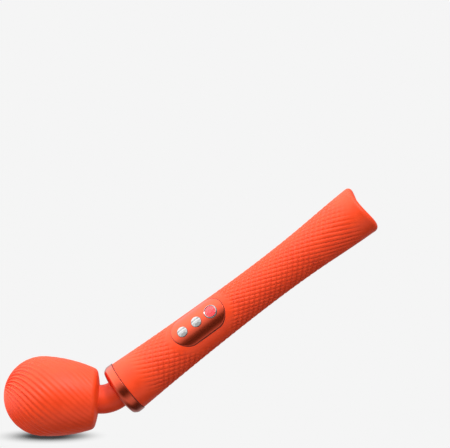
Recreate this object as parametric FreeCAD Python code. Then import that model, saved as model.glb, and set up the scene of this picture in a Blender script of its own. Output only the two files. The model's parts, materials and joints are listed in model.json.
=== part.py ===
import FreeCAD, Part

import os
from math import cos, pi, radians, sin, sqrt, tan

# Handheld wand massager: a ball-shaped vibrating head on a short elastic neck, a metal trim ring,
# and a waisted handle in a silicone sleeve with a three-button control panel.
# Units are millimetres. World frame: X along the length, Y across, Z up, standing on Z = 0 with the
# head's underside. The neck is modelled bent, as when the head is pressed on a surface.
#
# Two local frames carry the pieces:
#   handle frame  origin at the seam between trim ring and sleeve, z toward the tail, x toward the panel
#   head frame    origin at the neck pivot, z toward the tip of the head, y across

V = FreeCAD.Vector

# ---------------------------------------------------------------- driving dimensions
HANDLE_RISE = 37.2      # handle axis above the horizontal, degrees
HEAD_RISE = 3.4         # head axis above the horizontal, toward the tip, degrees
PANEL_TURN = 30.0       # the panel faces this far above sideways, about the handle axis, degrees
SEAM = 17.8             # neck pivot to the seam between trim ring and sleeve

HEAD_R = 29.5           # ball of the head
HEAD_CENTRE = 48.6      # neck pivot to the centre of the ball
HEAD_SIDE_R = 104.0     # long arc from the ball back to the shoulder
HEAD_BACK = 7.0         # neck pivot to the middle of the domed back face
HEAD_BACK_R = 82.0      # that dome's radius
HEAD_SHOULDER_R = 5.0   # rounding between side and back
COVER_WALL = 2.4        # silicone over the head
SHELL_GAP = 0.1         # between any skin and the shell under it
HEAD_SHELL_WALL = 2.0
HEAD_SPLIT = 34.0       # plane where the two head shells meet

# handle sleeve outline: distance from the seam, radius
SLEEVE_STATIONS = [(0, 19.7), (35, 18.0), (80, 16.4), (125, 15.65), (170, 16.7), (205, 18.6), (224, 19.0)]
SLEEVE_WALL = 1.8
HANDLE_SHELL_WALL = 2.0
SHELL_IN = SLEEVE_WALL + SHELL_GAP                 # shell outside, inward from the sleeve outline
CAVITY_IN = SHELL_IN + HANDLE_SHELL_WALL           # shell inside, inward from the sleeve outline
TAIL_MIDDLE = 215.8     # seam to the middle of the scooped tail face
TAIL_SCOOP_R = 46.0     # radius of the scoop, its axis toward the panel side
TAIL_TILT = 3.6         # lean of the scoop's axis, degrees
TAIL_EDGE_R = 3.2       # rounding of the tail rim
SHELL_START = 1.5
SHELL_END = 211.0

RING_R = 20.4           # trim ring's straight band
RING_FRONT = -9.9       # face toward the head
RING_BACK = -0.4
RING_BAND = (-4.6, -0.6)
RING_BORE_R = 11.3
RING_SEAT_R = 16.9      # hollow of the ring, over the neck clamp and anchor
RING_SEAT_FROM = -7.0
RING_BEVEL_R, RING_BEVEL_Z = 19.35, -7.3            # bevel between the band and the face
RING_FACE_R, RING_FACE_Z = 17.2, -8.95
RING_WEB_R, RING_WEB_Z = 16.0, -7.7
RING_LIP_T = 1.6
RING_SHOULDER_VIA = (20.05, 0, -6.1)                # middles of the ring's three outline arcs
RING_BEVEL_VIA = (18.65, 0, -8.3)
RING_FACE_VIA = (14.2, 0, -9.65)

NECK_R = 10.7
NECK_WALL = 1.8
NECK_BEND_R = 20.0      # centre-line radius of the bent neck
NECK_FLANGE_R = 12.9
NECK_FLANGE_T = 2.2
FLANGE_SETBACK = 4.8    # ring's front face to the neck's flange in the handle
FLANGE_LAND = 13.7      # neck pivot to the land that the neck's flange in the head rests on
CORE_R = 8.7
CORE_BORE_R = 3.0
GUIDE_TURN = 7.0        # each wire guide's place along the bend, from its middle, degrees
LEAD_R = 0.55           # insulated wire
HINGE_REACH = 5.2       # neck pivot to each of the two hinges that share the bend

PANEL_FROM, PANEL_TO = 48.4, 92.5
PANEL_HALF = 12.0       # half width, and the radius of both round ends
PANEL_PROUD = 0.5       # above the sleeve
PANEL_WALL = 1.4
SEAM_GASKET = 0.35      # width of the dark seam round the panel
BUTTON_RUN = 0.6        # travel of every button
SMALL_BUTTON_R = 4.0
POWER_BUTTON_R = 5.1
BUTTON_PLACES = {"minus": 57.0, "plus": 69.5, "power": 82.3}
BUTTON_CLEAR = 0.1
BUTTON_FLANGE = 0.9     # flange beyond the cap's radius
BUTTON_FLANGE_T = 0.6
BUTTON_RISE = 0.9       # crown above the panel
BUTTON_DOME = 0.8       # height of the crown's curve
BEZEL_WALL = 0.8        # metal round the lens of the power button
LENS_T = 2.15
PANEL_EDGE_R = 0.35
GUIDE_HALF = PANEL_HALF - 0.5
MEMBRANE_TOP, MEMBRANE_T, MEMBRANE_HALF = 11.9, 0.4, 9.0
BUTTON_FOOT = MEMBRANE_TOP + BUTTON_RUN + BUTTON_CLEAR

BOARD_UNDER, BOARD_TOP = 7.6, 9.2       # heights of the circuit board above the handle axis
BOARD_FROM, BOARD_TO, BOARD_HALF = 42.0, 100.0, 7.3
BOARD_HOLE_IN = 2.6     # board's end to its screw
BOARD_POST_R, BOARD_SCREW_R = 2.4, 0.8
SWITCH_HALF, SWITCH_T = 2.6, 1.5
TERMINAL_Y = 5.6        # terminals of the motor and charging leads, off the board's middle
CELL_LEAD_Y = 3.5
CELL_R, CELL_FROM, CELL_LONG = 9.2, 106.0, 65.0
CELL_TO = CELL_FROM + CELL_LONG
TRAY_R = CELL_R + 1.3
PAD_PLACES = (CELL_FROM + 8, CELL_FROM + 30, CELL_FROM + 52)
PAD_LONG, PAD_HALF = 5.0, 5.0

BOSS_PLACES = [(9.4, 24.0), (-9.4, 24.0), (8.2, 180.0), (-8.2, 180.0)]      # screws of the handle shells
SHELL_BOSS_R, SHELL_SCREW_SEAT = 2.7, -9.5
WIRE_HOLE_R = 9.0       # opening of the handle shells toward the neck
ANCHOR_CIRCLE, ANCHOR_BOSS_R, ANCHOR_SCREW_SEAT = 14.9, 2.2, -5.5

CARRIER_HOLE_R = 7.6    # opening in the tail for the charging carrier
CARRIER_R, CARRIER_DEEP = 10.0, 4.5
CONTACT_Y, CONTACT_R, CONTACT_T, CONTACT_PIN_R = 4.5, 1.6, 3.0, 0.7
CONTACT_END = SHELL_END - 6.5
CHARGE_MAGNET_X, CHARGE_MAGNET_R = 6.0, 2.0

CAN_R, CAN_FROM, CAN_TO = 12.2, 26.0, 54.0
CAN_WALL, CAN_END_T, CAN_NOSE_R = 0.8, 1.0, 5.0
END_CAP_T, END_CAP_NOSE_R = 2.0, 4.6
BEARING_R, REAR_BEARING_FROM = 3.0, CAN_FROM - 3.2
BRACKET_FROM, BRACKET_TO, BRACKET_R = CAN_TO, CAN_TO + 2.0, 13.6
MOTOR_SCREW_CIRCLE, MOTOR_SCREW_R = 8.0, 0.8
MAGNET_BORE_R, MAGNET_HALF = 8.9, 8.0
TAB_Y, TAB_HALF, TAB_T = 6.3, 1.2, 0.5      # solder tabs of the motor
TAB_END = CAN_FROM - 5.0
ARMATURE_R = 8.4
SHAFT_R = 1.15
WEIGHT_R, WEIGHT_FROM, WEIGHT_TO, WEIGHT_HUB_R = 13.4, 57.5, 67.0, 4.2

HEAD_POSTS = 3          # long screws that join the head shells
POST_CIRCLE = 17.3      # circle they stand on
POST_R, POST_FOOT = 2.8, 12.0
LONG_SCREW_SEAT, LONG_SCREW_BITE = POST_FOOT + 2.6, 5.4
BOSS_R, BOSS_LONG, BOSS_BORE = 3.0, 7.0, 5.6
RIB_HALF = 0.8          # half the thickness of the shells' inner ribs
TIE_FROM_R, TIE_TO_R, TIE_TO = 14.8, 20.5, 30.0
LAND_R = 16.2           # rim of the land under the neck's flange
CRADLE_R, CRADLE_BORE_R, CRADLE_FROM, CRADLE_TO = 15.6, 14.1, 22.0, 33.0
CLAMP_FROM, CLAMP_TO = FLANGE_LAND + NECK_FLANGE_T + 0.2, FLANGE_LAND + NECK_FLANGE_T + 2.6
CLAMP_R, CLAMP_ROOM_R = 13.0, 16.9
CLAMP_CIRCLE, CLAMP_EAR_R, CLAMP_EAR_ROOM_R, CLAMP_SCREW_BITE = 14.3, 2.3, 2.2, 2.2
SCREW_R = 1.0
SCREW_CLEAR = 0.1
SCREW_HEAD_ROOM_R = 2.1
NECK_CLEAR = 0.2        # neck to every opening it passes through

HEAD_FORM_FROM = -8.0   # start of the head's outline, hidden behind its back face
HEAD_SHOULDER_LEAST_R = 0.4
FAR = 60.0              # beyond the head or the handle, for cutting tools
TAIL_END = 230.0        # beyond the tail, for cutting tools

# ---------------------------------------------------------------- frames
handle_axis = V(cos(radians(HANDLE_RISE)), 0, sin(radians(HANDLE_RISE)))
head_axis = V(-cos(radians(HEAD_RISE)), 0, sin(radians(HEAD_RISE)))
handle_up = V(-sin(radians(HANDLE_RISE)), 0, cos(radians(HANDLE_RISE)))
panel_axis = V(0, -1, 0) * cos(radians(PANEL_TURN)) + handle_up * sin(radians(PANEL_TURN))
across = V(0, 1, 0)
NECK_TURN = HANDLE_RISE + HEAD_RISE                # bend of the neck, degrees
NECK_TANGENT = NECK_BEND_R * tan(radians(NECK_TURN / 2))


def frame(origin, x_axis, z_axis):
    """Placement whose local x and z axes lie along the two given perpendicular directions."""
    y_axis = z_axis.cross(x_axis)
    rows = [x_axis.x, y_axis.x, z_axis.x, origin.x, x_axis.y, y_axis.y, z_axis.y, origin.y]
    rows += [x_axis.z, y_axis.z, z_axis.z, origin.z, 0, 0, 0, 1]
    return FreeCAD.Placement(FreeCAD.Matrix(*rows))


HANDLE_FRAME = frame(handle_axis * SEAM, panel_axis, handle_axis)
HEAD_FRAME = frame(V(0, 0, 0), across.cross(head_axis), head_axis)


def placed(shape, place):
    moved = shape.copy()
    moved.Placement = place.multiply(moved.Placement)
    return moved


def on_handle(x, y, z):
    return HANDLE_FRAME.multVec(V(x, y, z))


def on_head(x, y, z):
    return HEAD_FRAME.multVec(V(x, y, z))


# ---------------------------------------------------------------- solid helpers
def turned(edges):
    """Solid of revolution about z from the edges of a closed outline in the xz plane.

    It is turned half round, so that its seam line is on the side away from the control panel.
    """
    body = Part.Face(Part.Wire(Part.__sortEdges__(edges))).revolve(V(0, 0, 0), V(0, 0, 1), 360)
    body.rotate(V(0, 0, 0), V(0, 0, 1), 180)
    return body


def rod(r, low, high, x=0.0, y=0.0):
    return Part.makeCylinder(r, high - low, V(x, y, low), V(0, 0, 1))


def tube(outer, inner, low, high, x=0.0, y=0.0):
    return rod(outer, low, high, x, y).cut(rod(inner, low - 1, high + 1, x, y))


def peg(r, low, high, y, z):
    """Cylinder along local x."""
    return Part.makeCylinder(r, high - low, V(low, y, z), V(1, 0, 0))


def block(x, y, z):
    """Box from three (low, high) pairs."""
    return Part.makeBox(x[1] - x[0], y[1] - y[0], z[1] - z[0], V(x[0], y[0], z[0]))


def ring_places(count, radius, first=0.0):
    angles = [radians(first + 360.0 * k / count) for k in range(count)]
    return [(radius * cos(a), radius * sin(a)) for a in angles]


def round_copies(shape, count, first=0.0):
    """Copies of a shape spaced evenly round z, the first turned by an angle."""
    copies = []
    for k in range(count):
        copy = shape.copy()
        copy.rotate(V(0, 0, 0), V(0, 0, 1), first + 360.0 * k / count)
        copies.append(copy)
    return copies


def level(edge):
    """True for an edge at one height."""
    return edge.BoundBox.ZLength < 0.01


def group(shapes):
    return shapes[0] if len(shapes) == 1 else Part.makeCompound(shapes)


def fused(shapes):
    whole = shapes[0].multiFuse(shapes[1:]) if len(shapes) > 1 else shapes[0]
    return whole.removeSplitter()


def stadium(half, ends, low, high):
    """Prism along local x: two half circles of radius half joined by straight sides."""
    z0, z1 = ends[0] + PANEL_HALF, ends[1] - PANEL_HALF
    y = half
    wire = Part.Wire([
        Part.LineSegment(V(low, -y, z0), V(low, -y, z1)).toShape(),
        Part.Arc(V(low, -y, z1), V(low, 0, z1 + y), V(low, y, z1)).toShape(),
        Part.LineSegment(V(low, y, z1), V(low, y, z0)).toShape(),
        Part.Arc(V(low, y, z0), V(low, 0, z0 - y), V(low, -y, z0)).toShape(),
    ])
    return Part.Face(wire).extrude(V(high - low, 0, 0))


def panel_prism(half, low=0.0, high=30.0):
    """Prism of the panel's own stadium outline, or one offset from it."""
    return stadium(half, (PANEL_FROM, PANEL_TO), low, high)


def screw(shank_r, length, recess=0.9):
    """Pan-head screw along +z, its head below z = 0 and its shank above it."""
    head_r, head_t = shank_r * 1.85, shank_r * 1.3
    body = rod(shank_r, 0, length).fuse(rod(head_r, -head_t, 0))
    slot = shank_r * 0.22
    arm = head_r * 0.7
    for x, y in ((arm, slot), (slot, arm)):
        body = body.cut(block((-x, x), (-y, y), (-head_t - 1, -head_t + recess * shank_r * 0.7)))
    return body


def screw_at(origin, direction, shank_r, length):
    turn = FreeCAD.Rotation(V(0, 0, 1), direction)
    return placed(screw(shank_r, length), FreeCAD.Placement(origin, turn))


def routed(points, bend):
    """Wire of straight runs through points, each corner rounded by an arc of radius bend."""
    edges = []
    start = points[0]
    for k in range(1, len(points) - 1):
        into = (points[k] - points[k - 1]).normalize()
        away = (points[k + 1] - points[k]).normalize()
        turn = into.getAngle(away)
        radius = bend[k - 1]
        reach = radius * tan(turn / 2)
        first = points[k] - into * reach
        last = points[k] + away * reach
        inward = (away - into).normalize()
        middle = points[k] + inward * (radius / cos(turn / 2) - radius)
        edges.append(Part.LineSegment(start, first).toShape())
        edges.append(Part.Arc(first, middle, last).toShape())
        start = last
    edges.append(Part.LineSegment(start, points[-1]).toShape())
    return Part.Wire(edges)


def lead(points, bend):
    """Insulated wire along a routed path."""
    path = routed(points, bend)
    along = (points[1] - points[0]).normalize()
    section = Part.Wire(Part.makeCircle(LEAD_R, points[0], along))
    body = path.makePipeShell([section], True, False)
    wanted = pi * LEAD_R ** 2 * path.Length
    assert abs(body.Volume / wanted - 1) < 0.02, "a lead's volume is off its length"
    return body


# ---------------------------------------------------------------- head
def head_form(inset):
    """The head's outside shape, brought in by inset all over."""
    ball = HEAD_R - inset
    side_r = HEAD_SIDE_R - inset
    side_axis = HEAD_R - HEAD_SIDE_R
    start_r = side_axis + sqrt(side_r ** 2 - (HEAD_CENTRE - HEAD_FORM_FROM) ** 2)
    half = (HEAD_CENTRE + HEAD_FORM_FROM) / 2
    half_r = side_axis + sqrt(side_r ** 2 - (HEAD_CENTRE - half) ** 2)
    tip = HEAD_CENTRE + ball
    low_q = ball / sqrt(2)
    start = V(start_r, 0, HEAD_FORM_FROM)
    outline = [
        Part.LineSegment(V(0, 0, HEAD_FORM_FROM), start).toShape(),
        Part.Arc(start, V(half_r, 0, half), V(ball, 0, HEAD_CENTRE)).toShape(),
        Part.Arc(V(ball, 0, HEAD_CENTRE), V(low_q, 0, HEAD_CENTRE + low_q), V(0, 0, tip)).toShape(),
        Part.LineSegment(V(0, 0, tip), V(0, 0, HEAD_FORM_FROM)).toShape(),
    ]
    dome = Part.makeSphere(HEAD_BACK_R - inset, V(0, 0, HEAD_BACK + HEAD_BACK_R))
    body = turned(outline).common(dome)
    shoulder = [e for e in body.Edges if level(e) and e.BoundBox.ZMax < HEAD_CENTRE - HEAD_R / 2]
    return body.makeFillet(max(HEAD_SHOULDER_R - inset, HEAD_SHOULDER_LEAST_R), shoulder[:1])


def head_posts():
    return ring_places(HEAD_POSTS, POST_CIRCLE)


def neck_hole():
    return rod(NECK_R + NECK_CLEAR, 0, CRADLE_FROM)


def head_cover():
    return head_form(0).cut(head_form(COVER_WALL)).cut(neck_hole())


def head_shell_wall():
    """Both head shells' outside form, and their wall."""
    outside = head_form(COVER_WALL + SHELL_GAP)
    return outside, outside.cut(head_form(COVER_WALL + SHELL_GAP + HEAD_SHELL_WALL))


def head_shell_front():
    """A bowl with three blind bosses for the long screws, each tied to the wall by a web."""
    outside, wall = head_shell_wall()
    boss_to = BRACKET_TO + BOSS_LONG
    bosses = [rod(BOSS_R, BRACKET_TO, boss_to, x, y) for x, y in head_posts()]
    web = block((POST_CIRCLE, HEAD_R), (-RIB_HALF, RIB_HALF), (BRACKET_TO, boss_to))
    details = bosses + round_copies(web, HEAD_POSTS)
    shell = fused([wall.common(rod(FAR, HEAD_SPLIT, 2 * FAR))] + [part.common(outside) for part in details])
    for x, y in head_posts():
        shell = shell.cut(rod(SCREW_R, BRACKET_TO - 1, BRACKET_TO + BOSS_BORE, x, y))
    return shell


def head_shell_back():
    """The shoulder, a land for the neck flange, a cradle round the motor, three posts and three ribs."""
    outside, wall = head_shell_wall()
    land = tube(LAND_R, NECK_R + NECK_CLEAR, HEAD_BACK + HEAD_SHELL_WALL, FLANGE_LAND).common(outside)
    cradle = tube(CRADLE_R, CRADLE_BORE_R, CRADLE_FROM, CRADLE_TO)
    columns = [rod(POST_R, POST_FOOT, BRACKET_FROM, x, y).common(outside) for x, y in head_posts()]
    tie = block((TIE_FROM_R, TIE_TO_R), (-RIB_HALF, RIB_HALF), (POST_FOOT, TIE_TO)).common(outside)
    tie = tie.cut(tube(CLAMP_ROOM_R, NECK_R, FLANGE_LAND, CRADLE_FROM - 0.1))
    ties = round_copies(tie, HEAD_POSTS, 60)
    shell = fused([wall.common(rod(FAR, -FAR, HEAD_SPLIT)), land, cradle] + columns + ties)
    shell = shell.cut(neck_hole())
    for x, y in head_posts():
        shell = shell.cut(rod(SCREW_R + SCREW_CLEAR, 0, BRACKET_FROM + 1, x, y))
        shell = shell.cut(rod(SCREW_HEAD_ROOM_R, 0, LONG_SCREW_SEAT, x, y))
    for x, y in clamp_screw_places():
        shell = shell.cut(rod(SCREW_R, FLANGE_LAND - CLAMP_SCREW_BITE - 0.2, CLAMP_TO + 1, x, y))
        shell = shell.cut(rod(CLAMP_EAR_ROOM_R, FLANGE_LAND, CLAMP_TO + 3, x, y))
    return shell


def clamp_screw_places():
    return ring_places(HEAD_POSTS, CLAMP_CIRCLE, 60)


def clamp_plate():
    """Plate that holds the neck's flange against the land."""
    middle = rod(CLAMP_R, CLAMP_FROM, CLAMP_TO).cut(rod(CORE_BORE_R + 0.3, CLAMP_FROM - 1, CLAMP_TO + 1))
    ears = [rod(CLAMP_EAR_R, CLAMP_FROM, CLAMP_TO, x, y) for x, y in clamp_screw_places()]
    plate = fused([middle] + ears)
    for x, y in clamp_screw_places():
        plate = plate.cut(rod(SCREW_R, CLAMP_FROM - 1, CLAMP_TO + 1, x, y))
    return plate


def clamp_screws():
    length = CLAMP_TO - FLANGE_LAND + CLAMP_SCREW_BITE
    places = clamp_screw_places()
    return group([screw_at(V(x, y, CLAMP_TO), V(0, 0, -1), SCREW_R, length) for x, y in places])


def long_screws():
    length = BRACKET_TO + LONG_SCREW_BITE - LONG_SCREW_SEAT
    return group([screw_at(V(x, y, LONG_SCREW_SEAT), V(0, 0, 1), SCREW_R, length) for x, y in head_posts()])


# ---------------------------------------------------------------- motor
def motor_screw_places():
    return ring_places(2, MOTOR_SCREW_CIRCLE, 90)


def motor_can():
    side = tube(CAN_R, CAN_R - CAN_WALL, CAN_FROM, CAN_TO - CAN_END_T)
    face = tube(CAN_R, CAN_NOSE_R, CAN_TO - CAN_END_T, CAN_TO)
    nose = tube(CAN_NOSE_R, BEARING_R, CAN_TO - CAN_END_T, BRACKET_TO)
    can = fused([side, face, nose])
    for x, y in motor_screw_places():
        can = can.cut(rod(MOTOR_SCREW_R, CAN_TO - 1.6, CAN_TO + 3, x, y))
    return can


def motor_end_cap():
    plate = tube(CAN_R - 0.4, BEARING_R, CAN_FROM - END_CAP_T, CAN_FROM)
    return fused([plate, tube(END_CAP_NOSE_R, BEARING_R, REAR_BEARING_FROM, CAN_FROM - END_CAP_T)])


def motor_bracket():
    """Plate on the motor's face with three arms to the posts of the head shells."""
    bracket = rod(BRACKET_R, BRACKET_FROM, BRACKET_TO).cut(rod(CAN_NOSE_R, 0, FAR))
    arm = block((10, POST_CIRCLE), (-POST_R, POST_R), (BRACKET_FROM, BRACKET_TO))
    ears = [rod(POST_R, BRACKET_FROM, BRACKET_TO, x, y) for x, y in head_posts()]
    bracket = bracket.fuse(round_copies(arm, HEAD_POSTS) + ears)
    for x, y in head_posts():
        bracket = bracket.cut(rod(SCREW_R + SCREW_CLEAR, 0, 2 * FAR, x, y))
    for x, y in motor_screw_places():
        bracket = bracket.cut(rod(MOTOR_SCREW_R, CAN_TO - 1.6, CAN_TO + 3, x, y))
    return bracket


def motor_screws():
    places = motor_screw_places()
    return group([screw_at(V(x, y, BRACKET_TO), V(0, 0, -1), MOTOR_SCREW_R, 3.0) for x, y in places])


def motor_pieces():
    tabs = []
    magnets = []
    brushes = []
    magnet_ring = tube(CAN_R - CAN_WALL - 0.1, MAGNET_BORE_R, CAN_FROM + 2, CAN_TO - 4)
    for side in (-1, 1):
        tab_y = (side * TAB_Y - TAB_T / 2, side * TAB_Y + TAB_T / 2)
        tabs.append(block((-TAB_HALF, TAB_HALF), tab_y, (TAB_END, CAN_FROM - END_CAP_T)))
        half_space = block((-MAGNET_HALF, MAGNET_HALF), sorted((0, side * FAR)), (0, 2 * FAR))
        magnets.append(magnet_ring.common(half_space))
        brush_y = sorted((side * 3.1, side * 6.6))
        brushes.append(block((-1.0, 1.0), brush_y, (CAN_FROM + 0.1, CAN_FROM + 1.9)))
    return {
        "motor_can": motor_can(),
        "motor_end_cap": motor_end_cap(),
        "motor_terminals": group(tabs),
        "motor_magnets": group(magnets),
        "motor_brushes": group(brushes),
        "motor_rear_bearing": tube(BEARING_R, SHAFT_R + 0.02, REAR_BEARING_FROM, CAN_FROM),
        "motor_front_bearing": tube(BEARING_R, SHAFT_R + 0.02, CAN_TO - CAN_END_T, BRACKET_TO),
        "motor_bracket": motor_bracket(),
        "motor_screws": motor_screws(),
        "motor_damper": tube(CRADLE_BORE_R - 0.1, CAN_R + 0.05, CAN_FROM + 0.5, CAN_FROM + 5.5),
    }


def armature():
    """Three-pole iron core on the shaft."""
    low, high = CAN_FROM + 4, CAN_TO - 7
    stem = block((2.0, 7.2), (-1.6, 1.6), (low, high))
    shoe = tube(ARMATURE_R, 7.0, low, high).common(block((0, 9), (-5.4, 5.4), (0, FAR)))
    poles = round_copies(stem.fuse(shoe), 3)
    hub = rod(3.2, CAN_FROM + 3.5, CAN_TO - 6)
    return fused([hub] + poles).cut(rod(SHAFT_R, 0, 2 * FAR))


def coils():
    """One winding round each pole."""
    coil = block((3.7, 6.2), (-3.1, 3.1), (CAN_FROM + 2.4, CAN_TO - 5.4))
    coil = coil.makeFillet(1.2, coil.Edges)
    coil = coil.cut(block((0, 9), (-1.65, 1.65), (CAN_FROM + 4, CAN_TO - 7)))
    return group(round_copies(coil, 3))


def eccentric_weight():
    """Off-centre weight: half a disc on a round hub."""
    disc = rod(WEIGHT_R, WEIGHT_FROM, WEIGHT_TO)
    half_disc = disc.common(block((-FAR, 0), (-FAR, FAR), (0, 2 * FAR)))
    weight = fused([half_disc, rod(WEIGHT_HUB_R, WEIGHT_FROM, WEIGHT_TO)]).cut(rod(SHAFT_R, 0, 2 * FAR))
    rim = [e for e in weight.Edges if level(e) and e.Length > WEIGHT_R * 2.5]
    return weight.makeFillet(0.8, rim)


def head_pieces():
    pieces = {
        "head_cover": head_cover(),
        "head_shell_front": head_shell_front(),
        "head_shell_back": head_shell_back(),
        "head_long_screws": long_screws(),
        "neck_clamp_plate": clamp_plate(),
        "neck_clamp_screws": clamp_screws(),
    }
    pieces.update(motor_pieces())
    pieces.update({
        "motor_shaft": rod(SHAFT_R, REAR_BEARING_FROM - 0.4, WEIGHT_TO + 1.2),
        "motor_armature": armature(),
        "motor_coils": coils(),
        "motor_commutator": tube(3.0, SHAFT_R, CAN_FROM + 0.2, CAN_FROM + 2.2),
        "eccentric_weight": eccentric_weight(),
    })
    return pieces


# ---------------------------------------------------------------- neck
def neck_tube(outer, inner):
    """Bent tube round the pivot: a round bend between the two straight ends, in world axes."""
    toward = (handle_axis + head_axis).normalize()
    centre = toward * (NECK_BEND_R / cos(radians(NECK_TURN / 2)))
    start = handle_axis * NECK_TANGENT
    section = Part.Face(Part.Wire(Part.makeCircle(outer, start, handle_axis)))
    bend = section.revolve(centre, across, NECK_TURN)
    hole = Part.Face(Part.Wire(Part.makeCircle(inner, start, handle_axis)))
    return bend.cut(hole.revolve(centre, across, NECK_TURN))


def neck_pieces():
    handle_end = SEAM + RING_FRONT + FLANGE_SETBACK + NECK_FLANGE_T     # from the pivot
    head_end = FLANGE_LAND + 0.1 + NECK_FLANGE_T
    inner = NECK_R - NECK_WALL
    towards_handle = frame(V(0, 0, 0), panel_axis, handle_axis)
    sleeve = fused([
        neck_tube(NECK_R, inner),
        placed(tube(NECK_R, inner, NECK_TANGENT, handle_end), towards_handle),
        placed(tube(NECK_FLANGE_R, inner, handle_end - NECK_FLANGE_T, handle_end), towards_handle),
        placed(tube(NECK_R, inner, NECK_TANGENT, head_end), HEAD_FRAME),
        placed(tube(NECK_FLANGE_R, inner, head_end - NECK_FLANGE_T, head_end), HEAD_FRAME),
    ])
    core = fused([
        neck_tube(CORE_R, CORE_BORE_R),
        placed(tube(CORE_R, CORE_BORE_R, NECK_TANGENT, handle_end), towards_handle),
        placed(tube(CORE_R, CORE_BORE_R, NECK_TANGENT, head_end), HEAD_FRAME),
    ])
    pieces = {"neck_sleeve": sleeve, "neck_core": core}

    # two rings inside the core, each side of its middle, that keep the motor leads apart
    toward = (handle_axis + head_axis).normalize()
    along = across.cross(toward).normalize()
    centre = toward * (NECK_BEND_R / cos(radians(NECK_TURN / 2)))
    for name, side in (("rear", 1), ("front", -1)):
        guide = fused([tube(2.6, 1.9, -0.8, 0.8), block((-0.2, 0.2), (-2.0, 2.0), (-0.8, 0.8))])
        guide = placed(guide, frame(centre - toward * NECK_BEND_R, across, along))
        guide.rotate(centre, across, -side * GUIDE_TURN)
        pieces["neck_guide_" + name] = guide
    return pieces


# ---------------------------------------------------------------- handle
def barrel(inset, low, high):
    """The sleeve's outline brought in by inset, as a solid between two heights."""
    points = [V(r - inset, 0, z) for z, r in SLEEVE_STATIONS]
    curve = Part.BSplineCurve()
    curve.interpolate(points)
    first, last = points[0], points[-1]
    outline = [
        curve.toShape(),
        Part.LineSegment(last, V(0, 0, last.z)).toShape(),
        Part.LineSegment(V(0, 0, last.z), V(0, 0, first.z)).toShape(),
        Part.LineSegment(V(0, 0, first.z), first).toShape(),
    ]
    return turned(outline).common(rod(40, low, high))


def barrel_radius(z):
    """Radius of the sleeve's outline at a height."""
    slab = barrel(0, z, z + 0.05)
    return slab.BoundBox.XMax


def tail_scoop(depth):
    """The space beyond the tail face, brought toward the head by depth."""
    drum = Part.makeCylinder(TAIL_SCOOP_R, 120, V(-60, 0, TAIL_SCOOP_R), V(1, 0, 0))
    above = block((-60, 60), (-60, 60), (TAIL_SCOOP_R, TAIL_SCOOP_R + 60))
    space = drum.fuse(above)
    space.rotate(V(0, 0, 0), V(0, 1, 0), -TAIL_TILT)
    space.translate(V(0, 0, TAIL_MIDDLE - depth))
    return space


def sleeve_body():
    outside = barrel(0, 0, SLEEVE_STATIONS[-1][0]).cut(tail_scoop(0))
    rim = [e for e in outside.Edges if e.BoundBox.ZMin > TAIL_MIDDLE - 4 and e.Length > 20]
    outside = outside.makeFillet(TAIL_EDGE_R, rim)
    hollow = barrel(SLEEVE_WALL, SHELL_START - SHELL_GAP, SHELL_END + SHELL_GAP)
    mouth = rod(RING_SEAT_R, -1, SHELL_START)
    nose = rod(CARRIER_HOLE_R, SHELL_END - 1, TAIL_END)
    window = panel_prism(PANEL_HALF + SEAM_GASKET + 0.05)
    return outside.cut(hollow).cut(mouth).cut(nose).cut(window)


def trim_ring():
    """Metal collar: a straight band, a bevel and a domed face round the neck."""
    band_from, band_to = RING_BAND
    back_edge = V(RING_R - 0.2, 0, RING_BACK)
    band_end = V(RING_R, 0, band_to)
    band_start = V(RING_R, 0, band_from)
    bevel = V(RING_BEVEL_R, 0, RING_BEVEL_Z)
    face = V(RING_FACE_R, 0, RING_FACE_Z)
    lip = V(RING_BORE_R, 0, RING_FRONT)
    lip_back = V(RING_BORE_R, 0, RING_FRONT + RING_LIP_T)
    web = V(RING_WEB_R, 0, RING_WEB_Z)
    seat = V(RING_SEAT_R, 0, RING_SEAT_FROM)
    seat_back = V(RING_SEAT_R, 0, RING_BACK)
    outline = [
        Part.LineSegment(seat_back, back_edge).toShape(),
        Part.LineSegment(back_edge, band_end).toShape(),
        Part.LineSegment(band_end, band_start).toShape(),
        Part.Arc(band_start, V(*RING_SHOULDER_VIA), bevel).toShape(),
        Part.Arc(bevel, V(*RING_BEVEL_VIA), face).toShape(),
        Part.Arc(face, V(*RING_FACE_VIA), lip).toShape(),
        Part.LineSegment(lip, lip_back).toShape(),
        Part.LineSegment(lip_back, web).toShape(),
        Part.LineSegment(web, seat).toShape(),
        Part.LineSegment(seat, seat_back).toShape(),
    ]
    return turned(outline)


# ---------------------------------------------------------------- control panel
def panel_crown(place):
    """Height of a button's crown above the handle axis."""
    return barrel_radius(place) + PANEL_PROUD + BUTTON_RISE


def button(r, place):
    """Polished cap with a crowned top and a flange that keeps it in."""
    top = panel_crown(place)
    crown = r * r / (2 * BUTTON_DOME) + BUTTON_DOME / 2
    cap = peg(r, BUTTON_FOOT, top, 0, place).common(Part.makeSphere(crown, V(top - crown, 0, place)))
    flange = peg(r + BUTTON_FLANGE, BUTTON_FOOT, BUTTON_FOOT + BUTTON_FLANGE_T, 0, place)
    return fused([cap, flange])


def outer_edge(edge):
    """True for an edge of the panel that lies on its outside surface."""
    middle = edge.valueAt((edge.FirstParameter + edge.LastParameter) / 2)
    radius = sqrt(middle.x ** 2 + middle.y ** 2)
    return radius > barrel_radius(middle.z) + PANEL_PROUD - 0.3


def button_holes():
    """Each button's place and radius."""
    return [
        (place, POWER_BUTTON_R if name == "power" else SMALL_BUTTON_R)
        for name, place in BUTTON_PLACES.items()
    ]


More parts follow.
